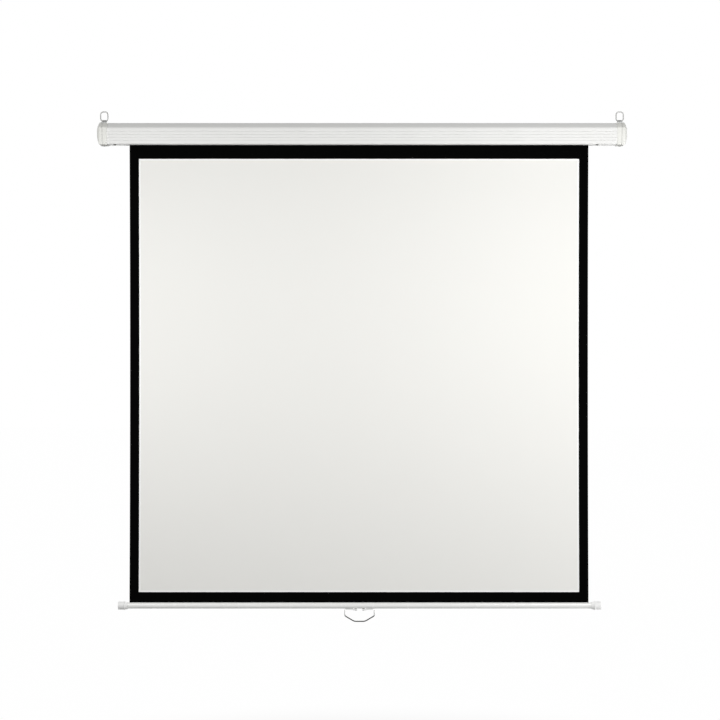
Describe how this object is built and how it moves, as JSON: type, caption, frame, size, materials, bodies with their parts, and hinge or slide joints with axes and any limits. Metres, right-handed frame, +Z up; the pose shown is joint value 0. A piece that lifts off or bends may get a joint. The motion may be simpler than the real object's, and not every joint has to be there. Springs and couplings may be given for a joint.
{
  "type": "pull-down projection screen",
  "caption": "Pull-down projection screen: black-bordered white fabric on a spring roller in a long case, with hanging rings, a tubular bottom bar and a wire pull handle.",
  "frame": {"origin": "centre of the case's flat rear face, which lies against the wall", "axes": "+Y out of the rear face towards the wall, +X along the case to the right as seen from the front, +Z up"},
  "size_m": [1.823, 0.0751, 1.7657],
  "materials": {
    "case_paint": "satin off-white powder coat",
    "cap_plastic": "fine-grained off-white moulding",
    "bright_steel": "bright zinc-plated wire and bar",
    "dark_steel": "dark plated steel",
    "zinc_sheet": "galvanised sheet",
    "white_nylon": "plain moulded nylon",
    "grey_nylon": "plain moulded nylon",
    "white_fabric": "matt white coated cloth",
    "black_coating": "matt black coating on cloth",
    "yellow_tape": "double-sided adhesive tape",
    "bar_paint": "semi-gloss white paint"
  },
  "bodies": {
    "housing": {"case_shell": "case_paint", "left_end_cap": "cap_plastic", "right_end_cap": "cap_plastic", "left_cap_screw": "dark_steel", "right_cap_screw": "dark_steel", "left_hanger_plate": "zinc_sheet", "right_hanger_plate": "zinc_sheet", "left_hanger_screw_front": "dark_steel", "left_hanger_screw_rear": "dark_steel", "right_hanger_screw_front": "dark_steel", "right_hanger_screw_rear": "dark_steel", "left_roller_bracket": "zinc_sheet", "right_roller_bracket": "zinc_sheet", "left_bracket_screw": "dark_steel", "right_bracket_screw": "dark_steel", "idle_pin_bush": "grey_nylon", "spindle": "bright_steel", "spindle_split_pin": "bright_steel", "ratchet_wheel": "dark_steel", "ratchet_pin": "bright_steel", "torsion_spring": "dark_steel", "spring_anchor": "zinc_sheet", "spindle_support": "grey_nylon", "screen_fabric": "white_fabric", "black_border": "black_coating"},
    "roller": {"roller_tube": "zinc_sheet", "rolled_fabric": "black_coating", "fabric_tape": "yellow_tape", "left_roller_plug": "white_nylon", "idle_pin": "bright_steel", "right_roller_plug": "white_nylon", "right_plug_bush": "grey_nylon", "left_plug_rivet_top": "bright_steel", "left_plug_rivet_foot": "bright_steel", "right_plug_rivet_top": "bright_steel", "right_plug_rivet_foot": "bright_steel", "upper_pawl_pin": "bright_steel", "lower_pawl_pin": "bright_steel"},
    "upper_ratchet_pawl": {"upper_pawl": "dark_steel"},
    "lower_ratchet_pawl": {"lower_pawl": "dark_steel"},
    "bottom_bar": {"bar_tube": "bar_paint", "hem_rod": "white_nylon", "left_bar_cap": "cap_plastic", "right_bar_cap": "cap_plastic", "left_handle_clip": "cap_plastic", "right_handle_clip": "cap_plastic", "left_clip_screw": "dark_steel", "right_clip_screw": "dark_steel"},
    "handle": {"pull_handle": "bright_steel"},
    "left_ring": {"left_hanging_ring": "bright_steel"},
    "right_ring": {"right_hanging_ring": "bright_steel"}
  },
  "joints": [
    {"name": "screen_slide", "type": "slide", "parent": "housing", "child": "bottom_bar", "axis": [0, 0, 1], "range_m": [0, 1.577], "deforming": ["screen_fabric", "black_border"]},
    {"name": "roller_spin", "type": "hinge", "parent": "housing", "child": "roller", "pos_m": [0, -0.0403, 0.002], "axis": [1, 0, 0], "range_deg": [0, 4048]},
    {"name": "upper_pawl_swing", "type": "hinge", "parent": "roller", "child": "upper_ratchet_pawl", "pos_m": [0.8005, -0.0403, 0.017], "axis": [1, 0, 0], "range_deg": [0, 31.7]},
    {"name": "lower_pawl_swing", "type": "hinge", "parent": "roller", "child": "lower_ratchet_pawl", "pos_m": [0.8005, -0.0403, -0.013], "axis": [1, 0, 0], "range_deg": [0, 31.7]},
    {"name": "handle_swing", "type": "hinge", "parent": "bottom_bar", "child": "handle", "pos_m": [-0.0083, -0.01945, -1.6425], "axis": [1, 0, 0], "range_deg": [-95, 95]},
    {"name": "left_ring_swing", "type": "hinge", "parent": "housing", "child": "left_ring", "pos_m": [-0.8903, -0.032, 0.0445], "axis": [1, 0, 0], "range_deg": [-90, 90]},
    {"name": "right_ring_swing", "type": "hinge", "parent": "housing", "child": "right_ring", "pos_m": [0.8903, -0.032, 0.0445], "axis": [1, 0, 0], "range_deg": [-90, 90]}
  ],
  "couplings": [
    {"joint": "roller_spin", "follows": "screen_slide", "rad_per_m": 44.789}
  ]
}
